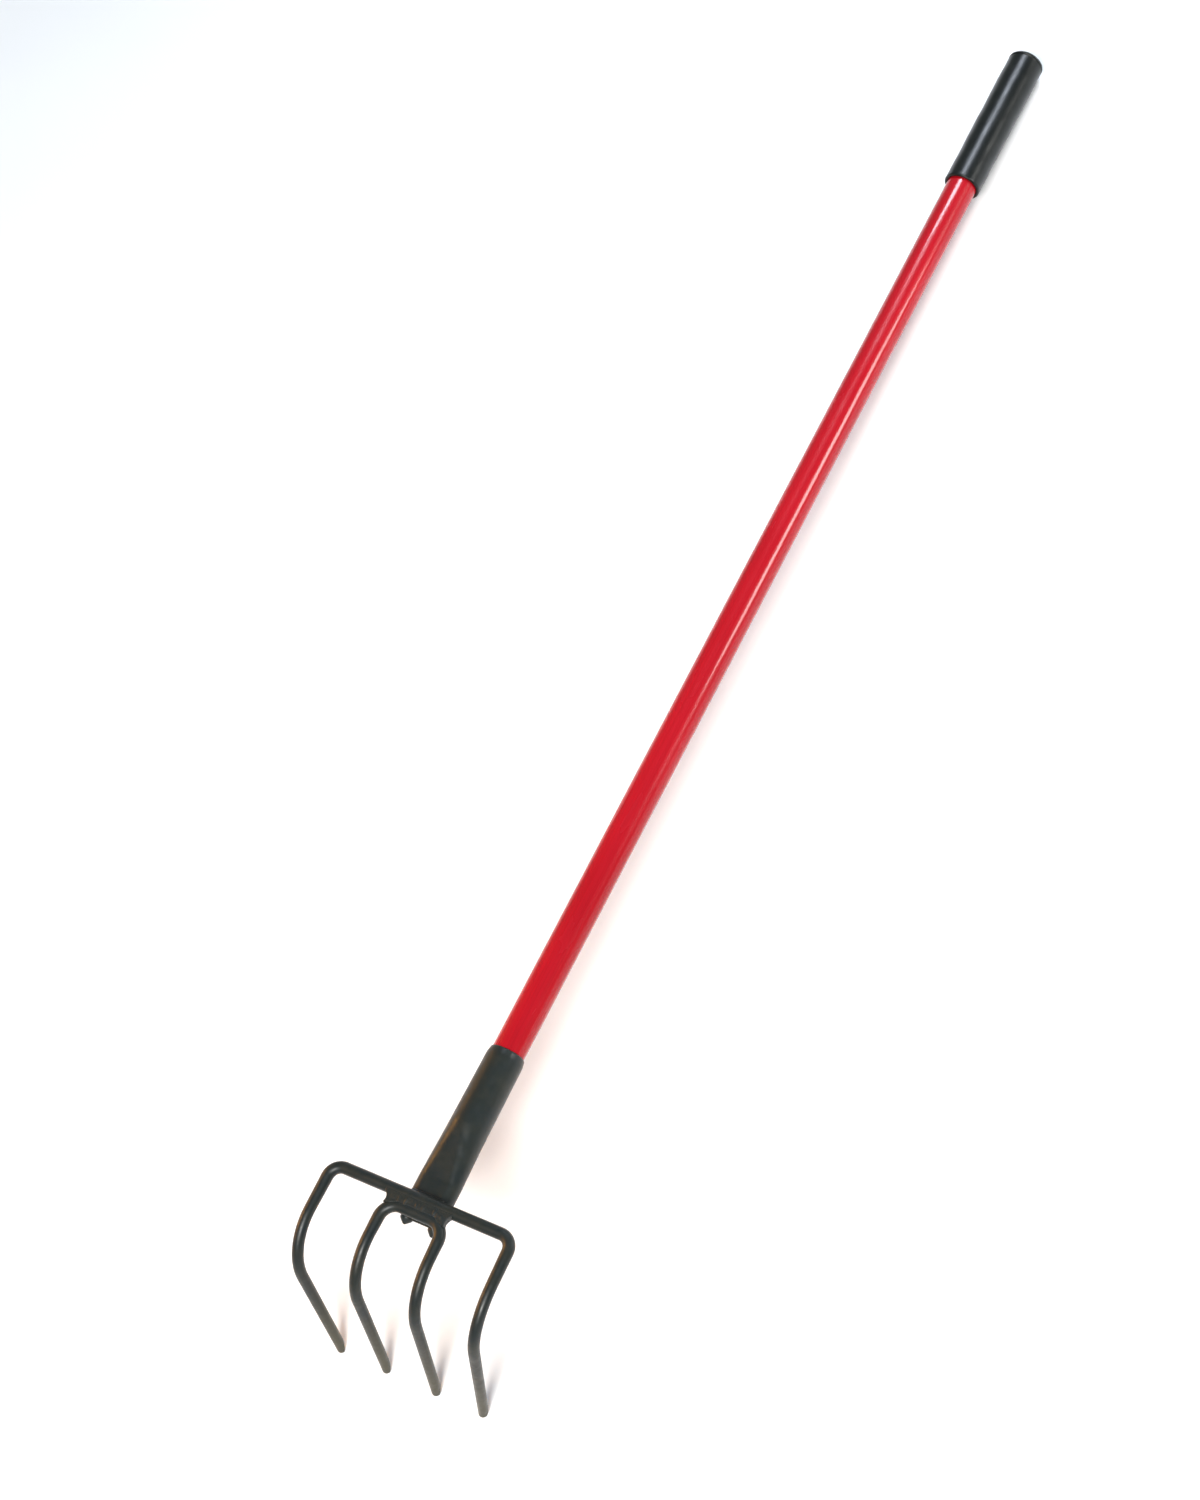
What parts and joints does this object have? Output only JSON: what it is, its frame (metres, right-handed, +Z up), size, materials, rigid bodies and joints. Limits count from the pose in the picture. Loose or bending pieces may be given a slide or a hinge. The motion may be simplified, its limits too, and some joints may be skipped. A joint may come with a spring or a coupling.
{
  "type": "hook fork",
  "caption": "Hook fork with bent steel tines welded across a flattened ferrule, on a long straight tubular handle with an end grip.",
  "frame": {"origin": "on the floor, under the middle of the tool's overall box, as it lies on its tine tips and the end of its grip", "axes": "+X from the head to the grip, along the tool; +Z up; +Y completes the right hand"},
  "size_m": [1.5129, 0.204, 0.1552],
  "materials": {
    "fibreglass_red": "glossy pultruded fibreglass with a smooth resin skin",
    "dowel_wood": "bare hardwood",
    "grip_vinyl": "satin dipped vinyl",
    "head_paint": "semi-gloss enamel over steel",
    "weld_paint": "enamel over weld metal",
    "adhesive_resin": "cured resin",
    "rivet_aluminium": "painted over with the head",
    "mandrel_steel": "plated"
  },
  "bodies": {
    "root": {"handle_tube": "fibreglass_red", "handle_core": "dowel_wood", "end_grip": "grip_vinyl", "ferrule": "head_paint", "ferrule_adhesive": "adhesive_resin", "rivet_body": "rivet_aluminium", "rivet_mandrel": "mandrel_steel", "outer_tine_bar": "head_paint", "inner_tine_bar": "head_paint", "seam_weld": "weld_paint", "left_crotch_weld": "weld_paint", "right_crotch_weld": "weld_paint", "ferrule_weld": "weld_paint", "left_toe_weld": "weld_paint", "right_toe_weld": "weld_paint"}
  },
  "joints": []
}
